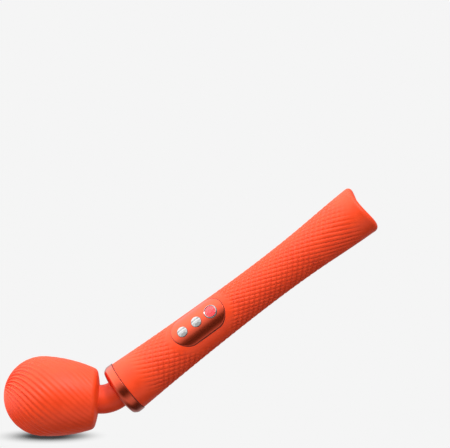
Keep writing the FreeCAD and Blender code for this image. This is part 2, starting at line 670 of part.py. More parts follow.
def control_panel():
    """Stadium-shaped plate that follows the handle's curve and stands just proud of the sleeve."""
    plate = barrel(-PANEL_PROUD, 30, 110).cut(barrel(-PANEL_PROUD + PANEL_WALL, 29, 111))
    plate = plate.common(panel_prism(PANEL_HALF))
    plate = plate.makeFillet(PANEL_EDGE_R, [e for e in plate.Edges if e.Length > 20 and outer_edge(e)])
    for place, r in button_holes():
        plate = plate.cut(peg(r + BUTTON_CLEAR, 0, 30, 0, place))
    return plate


def panel_gasket():
    """Thin dark rim between panel and sleeve."""
    rim = barrel(0.1, 30, 110).cut(barrel(PANEL_WALL - PANEL_PROUD, 29, 111))
    return rim.common(panel_prism(PANEL_HALF + SEAM_GASKET)).cut(panel_prism(PANEL_HALF + 0.02))


def button_guide():
    """Frame under the panel: a sleeve for each cap, and room for its flange."""
    frame_outside = barrel(PANEL_WALL - PANEL_PROUD + 0.1, 30, 110)
    guide = frame_outside.common(panel_prism(GUIDE_HALF, MEMBRANE_TOP + 0.2, 30))
    for place, r in button_holes():
        guide = guide.cut(peg(r + BUTTON_CLEAR, 0, 30, 0, place))
        room_to = BUTTON_FOOT + BUTTON_FLANGE_T + BUTTON_CLEAR
        guide = guide.cut(peg(r + BUTTON_FLANGE + 0.3, 0, room_to, 0, place))
    return guide


def power_button():
    """Metal bezel and the lens set into it."""
    place = BUTTON_PLACES["power"]
    whole = button(POWER_BUTTON_R, place)
    top = panel_crown(place)
    lens_r = POWER_BUTTON_R - BEZEL_WALL
    lens = whole.common(peg(lens_r - 0.05, top - LENS_T, top + 2, 0, place))
    return whole.cut(peg(lens_r, top - LENS_T - 0.05, top + 2, 0, place)), lens


def panel_pieces():
    power, lens = power_button()
    membrane_ends = (PANEL_FROM + 1.6, PANEL_TO - 1.6)
    return {
        "control_panel": control_panel(),
        "panel_gasket": panel_gasket(),
        "button_guide": button_guide(),
        "keypad_membrane": stadium(MEMBRANE_HALF, membrane_ends, MEMBRANE_TOP - MEMBRANE_T, MEMBRANE_TOP),
        "button_minus": button(SMALL_BUTTON_R, BUTTON_PLACES["minus"]),
        "button_plus": button(SMALL_BUTTON_R, BUTTON_PLACES["plus"]),
        "button_power_lens": lens,
        "button_power": power,
    }


# ---------------------------------------------------------------- handle insides
def board_post_places():
    return [BOARD_FROM + BOARD_HOLE_IN, BOARD_TO - BOARD_HOLE_IN]


def anchor_screw_places():
    return ring_places(4, ANCHOR_CIRCLE, 45)


def handle_shells():
    """Front and rear half, split through the handle axis, with their screw bosses."""
    body = barrel(SHELL_IN, SHELL_START, SHELL_END)
    body = body.cut(barrel(CAVITY_IN, SHELL_START + HANDLE_SHELL_WALL, SHELL_END - HANDLE_SHELL_WALL))
    body = body.cut(rod(WIRE_HOLE_R, 0, SHELL_START + 3))
    body = body.cut(rod(CARRIER_HOLE_R, SHELL_END - 3, SHELL_END + 1))
    inner = barrel(SHELL_IN + 0.6, SHELL_START, SHELL_END)
    front_space = block((0, FAR), (-FAR, FAR), (-5, TAIL_END))
    rear_space = block((-FAR, 0), (-FAR, FAR), (-5, TAIL_END))
    front_bosses = [peg(SHELL_BOSS_R, 0, 20, y, z).common(inner) for y, z in BOSS_PLACES]
    rear_bosses = [peg(SHELL_BOSS_R, -20, 0, y, z).common(inner) for y, z in BOSS_PLACES]
    front = fused([body.common(front_space)] + front_bosses)
    rear = fused([body.common(rear_space)] + rear_bosses)
    front = front.cut(panel_prism(GUIDE_HALF + 0.1, 4, 30))
    for y, z in BOSS_PLACES:
        front = front.cut(peg(SCREW_R, -1, 8.0, y, z))
        rear = rear.cut(peg(SCREW_R + SCREW_CLEAR, -30, 1, y, z))
        rear = rear.cut(peg(SCREW_HEAD_ROOM_R, -30, SHELL_SCREW_SEAT, y, z))
    for z in board_post_places():
        rear = fused([rear, peg(BOARD_POST_R, -20, BOARD_UNDER, 0, z).common(inner)])
        rear = rear.cut(peg(BOARD_SCREW_R, BOARD_UNDER - 6, 20, 0, z))
    for x, y in anchor_screw_places():
        hole = rod(SCREW_R, 0, 6, x, y)
        boss = rod(ANCHOR_BOSS_R, SHELL_START + 1, SHELL_START + 6, x, y).common(inner)
        front = fused([front, boss.common(front_space)]).cut(hole)
        rear = fused([rear, boss.common(rear_space)]).cut(hole)
    return front, rear


def shell_screws():
    return group([screw_at(V(SHELL_SCREW_SEAT, y, z), V(1, 0, 0), SCREW_R, 17.0) for y, z in BOSS_PLACES])


def anchor_pieces():
    """Neck anchorage inside the trim ring: a collar and an anchor either side of the neck's flange."""
    flange_front = RING_FRONT + FLANGE_SETBACK
    flange_back = flange_front + NECK_FLANGE_T
    outer = RING_SEAT_R - 0.1
    anchor = rod(outer, flange_back + 0.1, SHELL_START - 0.1).cut(rod(CORE_BORE_R + 0.4, -20, 20))
    collar = tube(outer, NECK_R + NECK_CLEAR, RING_SEAT_FROM + 0.1, flange_front - 0.1)
    screws = []
    for x, y in anchor_screw_places():
        hole = rod(SCREW_R + SCREW_CLEAR, -20, 20, x, y)
        anchor = anchor.cut(hole)
        collar = collar.cut(hole).cut(rod(2.0, -20, ANCHOR_SCREW_SEAT, x, y))
        screws.append(screw_at(V(x, y, ANCHOR_SCREW_SEAT), V(0, 0, 1), SCREW_R, 10.6))
    return {"neck_anchor": anchor, "neck_collar": collar, "neck_anchor_screws": group(screws)}


def board_pieces():
    """Circuit board with its parts and its screws."""
    board = block((BOARD_UNDER, BOARD_TOP), (-BOARD_HALF, BOARD_HALF), (BOARD_FROM, BOARD_TO))
    for z in board_post_places():
        board = board.cut(peg(BOARD_SCREW_R + SCREW_CLEAR, 0, 20, 0, z))
    screws = [screw_at(V(BOARD_TOP, 0, z), V(-1, 0, 0), BOARD_SCREW_R, 5.5) for z in board_post_places()]
    switches = []
    lamps = []
    case_top = BOARD_TOP + SWITCH_T
    for z in BUTTON_PLACES.values():
        case = block((BOARD_TOP, case_top), (-SWITCH_HALF, SWITCH_HALF), (z - SWITCH_HALF, z + SWITCH_HALF))
        switches.append(fused([case, peg(1.2, case_top, case_top + 0.6, 0, z)]))
        lamps.append(block((BOARD_TOP, BOARD_TOP + 0.7), (4.2, 5.8), (z - 0.8, z + 0.8)))
    terminal_size = 2.4
    terminal_places = [
        (BOARD_FROM, TERMINAL_Y),
        (BOARD_TO - terminal_size, TERMINAL_Y),
        (BOARD_TO - terminal_size, CELL_LEAD_Y),
    ]
    terminals = [
        block((BOARD_UNDER - 1.6, BOARD_UNDER), (side * y - 0.8, side * y + 0.8), (z, z + terminal_size))
        for z, y in terminal_places for side in (-1, 1)
    ]
    return {
        "main_board": board,
        "board_screws": group(screws),
        "tact_switches": group(switches),
        "button_lamps": group(lamps),
        "controller_chip": block((BOARD_UNDER - 1.0, BOARD_UNDER), (-3.5, 3.5), (66, 73)),
        "motor_driver_chip": block((BOARD_UNDER - 1.4, BOARD_UNDER), (-2.5, 2.5), (52, 57)),
        "board_capacitor": peg(2.5, BOARD_UNDER - 5.5, BOARD_UNDER, 0, 88),
        "lead_terminals": group(terminals),
    }


def battery_pieces():
    """One 18650 cell with its tabs, in an open tray on three foam pads."""
    cell = rod(CELL_R, CELL_FROM, CELL_TO)
    cell = cell.makeFillet(0.6, [e for e in cell.Edges if level(e)])
    tab_x, tab_y = (-3, 3), (-7, 8.6)
    tray = tube(TRAY_R, CELL_R + 0.2, CELL_FROM + 1, CELL_TO - 1)
    pads = []
    for z in PAD_PLACES:
        pad = barrel(CAVITY_IN + 0.05, z, z + PAD_LONG).cut(rod(TRAY_R + 0.05, 0, TAIL_END))
        pads.append(pad.common(block((-20, -3), (-PAD_HALF, PAD_HALF), (0, TAIL_END))))
    return {
        "battery_cell": fused([cell, rod(3.0, CELL_TO - 0.1, CELL_TO + 0.8)]),
        "battery_tabs": group([
            block(tab_x, tab_y, (CELL_FROM - 0.3, CELL_FROM - 0.05)),
            block(tab_x, tab_y, (CELL_TO + 0.85, CELL_TO + 1.1)),
        ]),
        "battery_tray": tray.common(block((-20, -0.5), (-20, 20), (0, TAIL_END))),
        "battery_pads": group(pads),
    }


def charge_pieces():
    """Charging contacts in the tail face, in a carrier with two magnets."""
    nose_top = TAIL_MIDDLE - 0.6
    neck_of_carrier = rod(CARRIER_HOLE_R - 0.1, SHELL_END - 2.5, nose_top)
    carrier = fused([neck_of_carrier, rod(CARRIER_R, SHELL_END - CARRIER_DEEP, SHELL_END - 2.1)])
    contacts = []
    magnets = []
    for side in (-1, 1):
        y = side * CONTACT_Y
        head = rod(CONTACT_R, nose_top - CONTACT_T, nose_top, 0, y)
        pin = rod(CONTACT_PIN_R, CONTACT_END, nose_top - CONTACT_T, 0, y)
        contacts.append(fused([head, pin]))
        carrier = carrier.cut(rod(CONTACT_R + 0.02, nose_top - CONTACT_T, TAIL_END, 0, y))
        carrier = carrier.cut(rod(CONTACT_PIN_R + 0.02, CONTACT_END, TAIL_END, 0, y))
        x = side * CHARGE_MAGNET_X
        magnets.append(rod(CHARGE_MAGNET_R, SHELL_END - CARRIER_DEEP, SHELL_END - 2.2, x, 0))
        carrier = carrier.cut(rod(CHARGE_MAGNET_R + 0.02, SHELL_END - 5, SHELL_END - 2.1, x, 0))
    return {"charge_carrier": carrier, "charge_contacts": group(contacts), "charge_magnets": group(magnets)}


def handle_pieces():
    front, rear = handle_shells()
    pieces = {
        "handle_sleeve": sleeve_body(),
        "trim_ring": trim_ring(),
        "ring_seal": tube(RING_R - 0.9, RING_SEAT_R, RING_BACK, 0.0),
        "handle_shell_front": front,
        "handle_shell_rear": rear,
        "handle_screws": shell_screws(),
    }
    for make in (panel_pieces, anchor_pieces, board_pieces, battery_pieces, charge_pieces):
        pieces.update(make())
    return pieces


# ---------------------------------------------------------------- leads
def lead_pieces():
    """Insulated wires, each whole along its route, in world axes."""
    end_height = BOARD_UNDER - 0.8
    motor = []
    for side in (-1, 1):
        spread = across * (side * 0.9)
        points = [
            on_head(0, side * TAB_Y, TAB_END),
            on_head(0, side * TAB_Y, TAB_END - 1.1),
            on_head(0, side * 0.9, CAN_FROM - 6.8),
            spread,
            handle_axis * (SEAM + 6) + spread,
            on_handle(5.2, -side * 5.0, 30.0),
            on_handle(end_height, -side * TERMINAL_Y, BOARD_FROM - 2.5),
            on_handle(end_height, -side * TERMINAL_Y, BOARD_FROM),
        ]
        motor.append(lead(points, [0.9, 1.6, NECK_BEND_R, 6.0, 6.0, 6.0]))

    live = [
        on_handle(1.2, 6.0, CELL_TO + 1.7),
        on_handle(1.2, 10.5, CELL_TO + 1.7),
        on_handle(1.2, 10.5, CELL_FROM - 1.4),
        on_handle(end_height, CELL_LEAD_Y, BOARD_TO + 1.6),
        on_handle(end_height, CELL_LEAD_Y, BOARD_TO),
    ]
    earth = [
        on_handle(2.0, -6.0, CELL_FROM - 0.9),
        on_handle(4.6, -6.0, CELL_FROM - 0.9),
        on_handle(end_height, -CELL_LEAD_Y, BOARD_TO + 1.6),
        on_handle(end_height, -CELL_LEAD_Y, BOARD_TO),
    ]
    battery = [lead(live, [1.1, 2.0, 1.5]), lead(earth, [1.0, 1.5])]

    charge = []
    for side in (-1, 1):
        points = [
            on_handle(0, side * CONTACT_Y, CONTACT_END),
            on_handle(0, side * CONTACT_Y, 200.0),
            on_handle(3.5, side * 4.2, 186.0),
            on_handle(3.5, side * 4.2, 177.0),
            on_handle(7.6, side * 7.4, 173.2),
            on_handle(7.6, side * 7.4, 105.0),
            on_handle(end_height, side * TERMINAL_Y, BOARD_TO + 1.6),
            on_handle(end_height, side * TERMINAL_Y, BOARD_TO),
        ]
        charge.append(lead(points, [8.0, 8.0, 2.0, 2.0, 2.0, 1.5]))
    return {"motor_leads": group(motor), "battery_leads": group(battery), "charge_leads": group(charge)}


# ---------------------------------------------------------------- assembly
def main():
    os.makedirs("parts", exist_ok=True)
    world = {name: placed(shape, HEAD_FRAME) for name, shape in head_pieces().items()}
    world.update(neck_pieces())
    world.update({name: placed(shape, HANDLE_FRAME) for name, shape in handle_pieces().items()})
    world.update(lead_pieces())

    head_box = world["head_cover"].optimalBoundingBox(False, False)
    tail_box = world["handle_sleeve"].optimalBoundingBox(False, False)
    shift = V(-(head_box.XMin + tail_box.XMax) / 2, 0, -head_box.ZMin)
    for name, shape in world.items():
        shape.translate(shift)
        shape.exportStep("parts/" + name + ".step")
        print(name, len(shape.Solids), round(shape.Volume, 1), "valid" if shape.isValid() else "NOT VALID")
    for name, point in (("rear hinge", handle_axis), ("front hinge", head_axis)):
        print(name, [round(c, 4) for c in point * HINGE_REACH + shift])
    print("pivot", [round(c, 4) for c in shift])
    print("pieces", len(world))


main()
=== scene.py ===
import json
from math import asin, atan2, cos, pi, radians, sin, sqrt, tan

import bmesh
import bpy
import numpy as np
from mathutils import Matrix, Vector


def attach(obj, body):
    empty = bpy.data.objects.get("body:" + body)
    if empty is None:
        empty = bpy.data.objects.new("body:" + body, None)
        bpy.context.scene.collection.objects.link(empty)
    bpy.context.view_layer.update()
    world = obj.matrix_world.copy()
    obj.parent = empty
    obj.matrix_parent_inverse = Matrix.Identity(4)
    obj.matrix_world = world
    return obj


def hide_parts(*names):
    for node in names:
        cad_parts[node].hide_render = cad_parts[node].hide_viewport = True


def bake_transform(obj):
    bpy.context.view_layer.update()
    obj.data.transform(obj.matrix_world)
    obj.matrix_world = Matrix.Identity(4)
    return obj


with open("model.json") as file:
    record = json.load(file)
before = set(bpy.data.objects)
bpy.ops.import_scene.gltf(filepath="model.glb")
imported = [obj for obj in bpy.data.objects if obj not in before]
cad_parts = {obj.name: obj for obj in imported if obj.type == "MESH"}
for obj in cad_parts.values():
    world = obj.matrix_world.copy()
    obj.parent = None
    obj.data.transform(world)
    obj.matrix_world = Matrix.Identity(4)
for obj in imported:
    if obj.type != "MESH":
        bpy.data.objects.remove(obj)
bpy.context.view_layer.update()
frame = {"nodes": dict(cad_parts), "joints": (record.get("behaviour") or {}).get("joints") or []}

# Handheld wand massager. Lengths in the shape code are millimetres and become metres in make().

MM = 0.001
BEND_HALF = radians(20.3)  # half the angle between handle and head
HINGE_REACH = 5.2  # from the neck's corner to its rear hinge
SEAM = 17.8  # from the neck's corner to the seam between trim ring and sleeve
PANEL_LEAN = radians(30)  # how far the panel faces above sideways

# ---------------------------------------------------------------- directions and places
rise, lift = radians(37.2), radians(3.4)
across = np.array([0.0, 1.0, 0.0])
tail_way = np.array([cos(rise), 0.0, sin(rise)])
tip_way = np.array([-cos(lift), 0.0, sin(lift)])
grip_up = np.array([-sin(rise), 0.0, cos(rise)])
panel_way = -across * cos(PANEL_LEAN) + grip_up * sin(PANEL_LEAN)
grip_side = np.cross(tail_way, panel_way)
head_up = np.cross(across, tip_way)
joint = {j["name"]: j for j in frame["joints"]}
pivot = np.array(joint["neck_bend"]["pos_m"]) / MM - tail_way * HINGE_REACH


def on_handle(x, y, z):
    """World place of local handle coordinates: x toward the panel, z toward the tail from the seam."""
    x, y, z = np.broadcast_arrays(x, y, z)
    return pivot + x[..., None] * panel_way + y[..., None] * grip_side + (z + SEAM)[..., None] * tail_way


def on_head(x, y, z):
    """World place of local head coordinates: z toward the tip from the neck pivot."""
    x, y, z = np.broadcast_arrays(x, y, z)
    return pivot + x[..., None] * head_up + y[..., None] * across + z[..., None] * tip_way


def in_world(x, y, z):
    return np.stack(np.broadcast_arrays(x, y, z), -1)


def ease(low, high, value):
    """Smooth step from 0 at low to 1 at high."""
    s = np.clip((value - low) / (high - low), 0, 1)
    return s * s * (3 - 2 * s)


# ---------------------------------------------------------------- mesh helpers
def wrap(rows, cols, close_rows=False, shift=0):
    """Quads over rows of closed rings. close_rows joins the last ring to the first, turned by shift."""
    r = np.arange(rows - 1)[:, None]
    c = np.arange(cols)[None, :]
    quads = np.stack([r * cols + c, r * cols + (c + 1) % cols,
                      (r + 1) * cols + (c + 1) % cols, (r + 1) * cols + c], -1).reshape(-1, 4)
    if close_rows:
        c = np.arange(cols)
        last = (rows - 1) * cols
        joined = np.stack([last + c, last + (c + 1) % cols, (c + 1 + shift) % cols, (c + shift) % cols], -1)
        quads = np.vstack([quads, joined])
    return quads


def end_faces(rows, cols):
    """One face over the first ring and one over the last."""
    last = (rows - 1) * cols
    return [list(range(cols)), list(range(last, last + cols))]


def make(name, points, faces, sharp=35):
    """Mesh object from points in millimetres, with outward normals and smooth shading."""
    mesh = bpy.data.meshes.new(name)
    faces = faces.tolist() if isinstance(faces, np.ndarray) else faces
    mesh.from_pydata((np.reshape(points, (-1, 3)) * MM).tolist(), [], faces)
    tidy = bmesh.new()
    tidy.from_mesh(mesh)
    bmesh.ops.recalc_face_normals(tidy, faces=tidy.faces)
    tidy.to_mesh(mesh)
    tidy.free()
    shade(mesh, sharp)
    piece = bpy.data.objects.new(name, mesh)
    bpy.context.scene.collection.objects.link(piece)
    return piece


def shade(mesh, sharp):
    """Smooth shading, with edges kept sharp above an angle in degrees."""
    mesh.polygons.foreach_set("use_smooth", [True] * len(mesh.polygons))
    mesh.set_sharp_from_angle(angle=radians(sharp))


def cut(piece, cutters, sharp=35):
    """Takes the cutters' solids out of the piece's mesh, and removes the cutters."""
    for cutter in cutters:
        step = piece.modifiers.new("cut", "BOOLEAN")
        step.operation = "DIFFERENCE"
        step.solver = "MANIFOLD"
        step.object = cutter
    bpy.context.view_layer.update()
    done = bpy.data.meshes.new_from_object(piece.evaluated_get(bpy.context.evaluated_depsgraph_get()))
    piece.modifiers.clear()
    piece.data = done
    shade(done, sharp)
    for cutter in cutters:
        bpy.data.objects.remove(cutter)


def arc(centre, radius, first, last, count):
    """(a, b) points of an arc in a plane, angles in degrees."""
    angles = np.radians(np.linspace(first, last, count))
    return [(centre[0] + radius * cos(a), centre[1] + radius * sin(a)) for a in angles]


def three_point(a, b, c, count):
    """Arc from a through b to c, as (r, z) pairs."""
    (ax, ay), (bx, by), (cx, cy) = a, b, c
    d = 2 * (ax * (by - cy) + bx * (cy - ay) + cx * (ay - by))
    aa, bb, cc = ax**2 + ay**2, bx**2 + by**2, cx**2 + cy**2
    ux = (aa * (by - cy) + bb * (cy - ay) + cc * (ay - by)) / d
    uy = (aa * (cx - bx) + bb * (ax - cx) + cc * (bx - ax)) / d
    first, last = atan2(ay - uy, ax - ux), atan2(cy - uy, cx - ux)
    turn = (last - first + pi) % (2 * pi) - pi
    radius = sqrt((ax - ux) ** 2 + (ay - uy) ** 2)
    angles = [first + turn * k / (count - 1) for k in range(count)]
    return [(ux + radius * cos(a), uy + radius * sin(a)) for a in angles]


def fine(outline, step):
    """The outline's straight runs divided to about step."""
    out = []
    for (a, b), (c, d) in zip(outline, outline[1:] + outline[:1]):
        parts = max(1, int(sqrt((c - a) ** 2 + (d - b) ** 2) / step))
        out += [(a + (c - a) * k / parts, b + (d - b) * k / parts) for k in range(parts)]
    return out


def rounded_rim(first, radius, edge, flats, steps):
    """(reach, drop) pairs from the middle of a round top to its rim, whose edge is rounded."""
    out = []
    rim = radius - edge + edge * np.sin(np.linspace(0, pi / 2, steps)[1:])
    for reach in np.concatenate([np.linspace(first, radius - edge, flats), rim]):
        over = max(0.0, (reach - radius + edge) / edge)
        out.append((reach, edge * (1 - sqrt(max(0.0, 1 - over**2)))))
    return out


def turned(name, outline, place, cols):
    """Closed (r, z) outline turned about the local z axis."""
    r, z = np.array(outline).T[:, :, None]
    a = np.linspace(0, 2 * pi, cols, endpoint=False)[None, :]
    points = place(r * np.cos(a), r * np.sin(a), z + 0 * a)
    return make(name, points, wrap(len(outline), cols, close_rows=True))


# ---------------------------------------------------------------- materials
looks = {}
TONE_SPLIT = 0.35, 0.65  # noise values at which the first and the second tone are pure
GLOSS_SPLIT = 0.3, 0.7
GRAIN_HEIGHT = 0.02


def span(nodes, start, end, to_start=0.0, to_end=1.0, kind="LINEAR"):
    """Map Range node from one span of values to another."""
    node = nodes.new("ShaderNodeMapRange")
    node.interpolation_type = kind
    node.inputs["From Min"].default_value, node.inputs["From Max"].default_value = start, end
    node.inputs["To Min"].default_value, node.inputs["To Max"].default_value = to_start, to_end
    return node


def noise(nodes, size, detail):
    """Noise texture with features of a size in mm."""
    node = nodes.new("ShaderNodeTexNoise")
    node.inputs["Scale"].default_value = 1 / (size * MM)
    node.inputs["Detail"].default_value = detail
    return node


def finish(name, tones, size, rough, bump, metal=0.0, **fixed):
    """Adds a principled look: two tones mixed by noise of a size in mm, a span of roughness,
    and bump as (strength, grain size in mm). fixed holds further shader inputs."""
    material = bpy.data.materials.new(name)
    material.use_nodes = True
    nodes, links = material.node_tree.nodes, material.node_tree.links
    bsdf = nodes["Principled BSDF"]
    bsdf.inputs["Metallic"].default_value = metal
    for socket, value in fixed.items():
        bsdf.inputs[socket.replace("_", " ")].default_value = value
    place = nodes.new("ShaderNodeTexCoord").outputs["Object"]
    cloud = noise(nodes, size, 3)
    links.new(place, cloud.inputs["Vector"])
    ramp = nodes.new("ShaderNodeValToRGB")
    for stop, position, tone in zip(ramp.color_ramp.elements, TONE_SPLIT, tones):
        stop.position = position
        stop.color = (*tone, 1)
    links.new(cloud.outputs["Fac"], ramp.inputs["Fac"])
    links.new(ramp.outputs["Color"], bsdf.inputs["Base Color"])
    gloss = span(nodes, *GLOSS_SPLIT, *rough)
    links.new(cloud.outputs["Fac"], gloss.inputs["Value"])
    links.new(gloss.outputs["Result"], bsdf.inputs["Roughness"])
    strength, grain_size = bump
    grain = noise(nodes, grain_size, 2)
    links.new(place, grain.inputs["Vector"])
    dents = nodes.new("ShaderNodeBump")
    dents.inputs["Strength"].default_value = strength
    dents.inputs["Distance"].default_value = GRAIN_HEIGHT * MM
    links.new(grain.outputs["Fac"], dents.inputs["Height"])
    links.new(dents.outputs["Normal"], bsdf.inputs["Normal"])
    looks[name] = material


def grey(value, warmth=0.0):
    return (value + warmth, value, value)


finish("silicone_orange", ((0.82, 0.050, 0.005), (0.88, 0.060, 0.008)), 9.0, (0.46, 0.54), (0.25, 0.25),
       Specular_IOR_Level=0.36)
finish("anodised_orange", ((0.58, 0.052, 0.012), (0.62, 0.058, 0.014)), 0.6, (0.27, 0.33), (0.04, 0.15), 1.0,
       Coat_Weight=0.7, Coat_Roughness=0.2)
finish("seal_dark", ((0.05, 0.008, 0.004), (0.09, 0.014, 0.006)), 1.5, (0.5, 0.65), (0.2, 0.2))
finish("chromed_caps", (grey(0.34), grey(0.38)), 1.2, (0.07, 0.12), (0.05, 0.3), 1.0)
finish("red_lens", ((0.72, 0.02, 0.03), (0.85, 0.04, 0.05)), 1.4, (0.08, 0.14), (0.05, 0.3),
       Coat_Weight=0.6, Coat_Roughness=0.04)
finish("keypad_rubber", (grey(0.03), grey(0.05)), 1.0, (0.55, 0.7), (0.3, 0.2))
finish("neck_rubber", (grey(0.02), grey(0.035)), 2.0, (0.55, 0.7), (0.3, 0.2))
finish("nylon_dark", (grey(0.03), grey(0.045)), 3.0, (0.42, 0.55), (0.5, 0.35))
finish("screw_steel", (grey(0.42), grey(0.55)), 0.6, (0.22, 0.34), (0.2, 0.1), 1.0)
finish("motor_steel", (grey(0.45), grey(0.56)), 2.5, (0.24, 0.36), (0.25, 0.12), 1.0)
finish("magnet", (grey(0.10), grey(0.14)), 0.8, (0.4, 0.55), (0.3, 0.12), 0.6)
finish("copper", ((0.72, 0.26, 0.10), (0.82, 0.33, 0.14)), 0.5, (0.22, 0.34), (0.5, 0.25), 1.0)
finish("bronze", ((0.50, 0.30, 0.12), (0.60, 0.38, 0.17)), 0.7, (0.3, 0.42), (0.3, 0.12), 1.0)
finish("gold_plate", ((0.90, 0.62, 0.22), (0.96, 0.70, 0.28)), 0.5, (0.12, 0.2), (0.1, 0.1), 1.0)
finish("nickel", (grey(0.58, 0.03), grey(0.68, 0.03)), 0.8, (0.2, 0.3), (0.2, 0.1), 1.0)
finish("board_green", ((0.01, 0.10, 0.035), (0.015, 0.14, 0.05)), 0.7, (0.25, 0.4), (0.2, 0.15),
       Coat_Weight=0.4, Coat_Roughness=0.15)
finish("chip_black", (grey(0.015), grey(0.03)), 0.5, (0.45, 0.6), (0.4, 0.08))
finish("lamp_white", (grey(0.75), grey(0.86)), 0.5, (0.25, 0.35), (0.1, 0.1))
finish("cell_wrap", ((0.02, 0.16, 0.30), (0.03, 0.20, 0.36)), 4.0, (0.28, 0.4), (0.2, 0.5),
       Coat_Weight=0.3, Coat_Roughness=0.2)
finish("lead_insulation", ((0.45, 0.02, 0.02), (0.55, 0.03, 0.025)), 1.0, (0.35, 0.5), (0.2, 0.15))


def dress(piece, slot, nodes=(), body=None):
    """Gives a piece its look, hides the CAD nodes it stands for and puts it on the body it rides on."""
    piece.data.materials.clear()
    piece.data.materials.append(looks[slot])
    if nodes:
        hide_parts(*nodes)
    if body:
        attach(piece, body)
    return piece


# ---------------------------------------------------------------- head
HEAD_R, HEAD_CENTRE, SIDE_R, BACK_R, BACK_AT, SHOULDER_R = 29.5, 48.6, 104.0, 82.0, 7.0, 5.0
COVER_WALL, NECK_HOLE_R = 2.4, 10.9
RIBS, RIB_COLS = 36, 12
RIB_DEPTH, RIB_PEAK = 1.3, 0.40  # RIB_PEAK is the crest's place in a rib, as a share of its width
# distances along the outline from the tip, except RIB_RISE, which is a radius
RIB_RISE, RIB_FADE, RIB_END, SLANT_SPAN = (3.0, 15.0), (24, 60), (78, 90), (0, 44)
RIB_FADE_SHARE = 0.88
SLANT, MORE_SLANT = 16, 24
TWIST_MIN_R = 6.0
# rings on the tip, the side, the shoulder and the back
OUTER_RINGS, LINING_RINGS = (72, 46, 14, 16), (14, 10, 4, 4)


def head_outline(inset, counts):
    """(r, z, outward r, outward z) along the head from the tip to the neck hole, brought in by inset."""
    side_c, back_c = (HEAD_R - SIDE_R, HEAD_CENTRE), (0.0, BACK_AT + BACK_R)

    # the shoulder's arc touches the side's and the back's from inside
    a, b = SIDE_R - SHOULDER_R, BACK_R - SHOULDER_R
    dx, dz = back_c[0] - side_c[0], back_c[1] - side_c[1]
    d = sqrt(dx * dx + dz * dz)
    m = (a * a - b * b + d * d) / (2 * d)
    q = sqrt(a * a - m * m)
    shoulder_c = (side_c[0] + m * dx / d + q * dz / d, side_c[1] + m * dz / d - q * dx / d)
    side_end = np.degrees(atan2(shoulder_c[1] - side_c[1], shoulder_c[0] - side_c[0]))
    back_start = np.degrees(atan2(shoulder_c[1] - back_c[1], shoulder_c[0] - back_c[0]))
    back_end = -90 + np.degrees(asin(NECK_HOLE_R / BACK_R))
    rows = []
    for centre, radius, first, last, count in (
        ((0.0, HEAD_CENTRE), HEAD_R, 90, 0, counts[0]),
        (side_c, SIDE_R, 0, side_end, counts[1]),
        (shoulder_c, SHOULDER_R, side_end, back_start, counts[2]),
        (back_c, BACK_R, back_start, back_end, counts[3]),
    ):
        for angle in np.radians(np.linspace(first, last, count, endpoint=False)):
            n_r, n_z = cos(angle), sin(angle)
            rows.append((centre[0] + (radius - inset) * n_r, centre[1] + (radius - inset) * n_z, n_r, n_z))
    n_r, n_z = cos(radians(back_end)), sin(radians(back_end))
    rows.append((NECK_HOLE_R, back_c[1] + (BACK_R - inset) * n_z, n_r, n_z))
    return np.array(rows[1:])


def head_skin():
    """Ribbed cover with a smooth lining, closed at the tip and open round the neck."""
    outer = head_outline(0.0, OUTER_RINGS)
    r, z, n_r, n_z = outer.T
    step = np.hypot(np.diff(r, prepend=0), np.diff(z, prepend=HEAD_CENTRE + HEAD_R))
    along = np.cumsum(step)
    slant = np.radians(SLANT + MORE_SLANT * ease(*SLANT_SPAN, along))
    twist = -np.cumsum(np.tan(slant) * step / np.maximum(r, TWIST_MIN_R))
    cols = RIBS * RIB_COLS
    column = np.arange(cols)
    phase = (column % RIB_COLS) / RIB_COLS
    wave = np.where(phase < RIB_PEAK, np.sin(pi / 2 * phase / RIB_PEAK) ** 2,
                    np.cos(pi / 2 * (phase - RIB_PEAK) / (1 - RIB_PEAK)) ** 2)
    angle = 2 * pi * column[None, :] / cols + twist[:, None]
    fade = (1 - RIB_FADE_SHARE * ease(*RIB_FADE, along)) * (1 - ease(*RIB_END, along))
    depth = RIB_DEPTH * ease(*RIB_RISE, r) * fade
    drop = depth[:, None] * (1 - wave[None, :])
    rr = r[:, None] - drop * n_r[:, None]
    zz = z[:, None] - drop * n_z[:, None]
    skin = on_head(rr * np.cos(angle), rr * np.sin(angle), zz)

    inner = head_outline(COVER_WALL, LINING_RINGS)[::-1]
    turn = angle[-1][None, :]
    ri, zi = inner[:, 0][:, None], inner[:, 1][:, None]
    lining = on_head(ri * np.cos(turn), ri * np.sin(turn), zi + 0 * turn)

    rows = len(skin) + len(lining)
    tip_z = HEAD_CENTRE + HEAD_R
    tips = on_head(0.0, 0.0, np.array([tip_z, tip_z - COVER_WALL]))
    points = np.vstack([skin.reshape(-1, 3), lining.reshape(-1, 3), tips])
    faces = wrap(rows, cols).tolist()
    tip, under = rows * cols, rows * cols + 1
    faces += [[tip, (c + 1) % cols, c] for c in range(cols)]
    last = (rows - 1) * cols
    faces += [[under, last + c, last + (c + 1) % cols] for c in range(cols)]
    return make("head_skin", points, faces, sharp=60)


dress(head_skin(), "silicone_orange", ["head_cover"], "head")

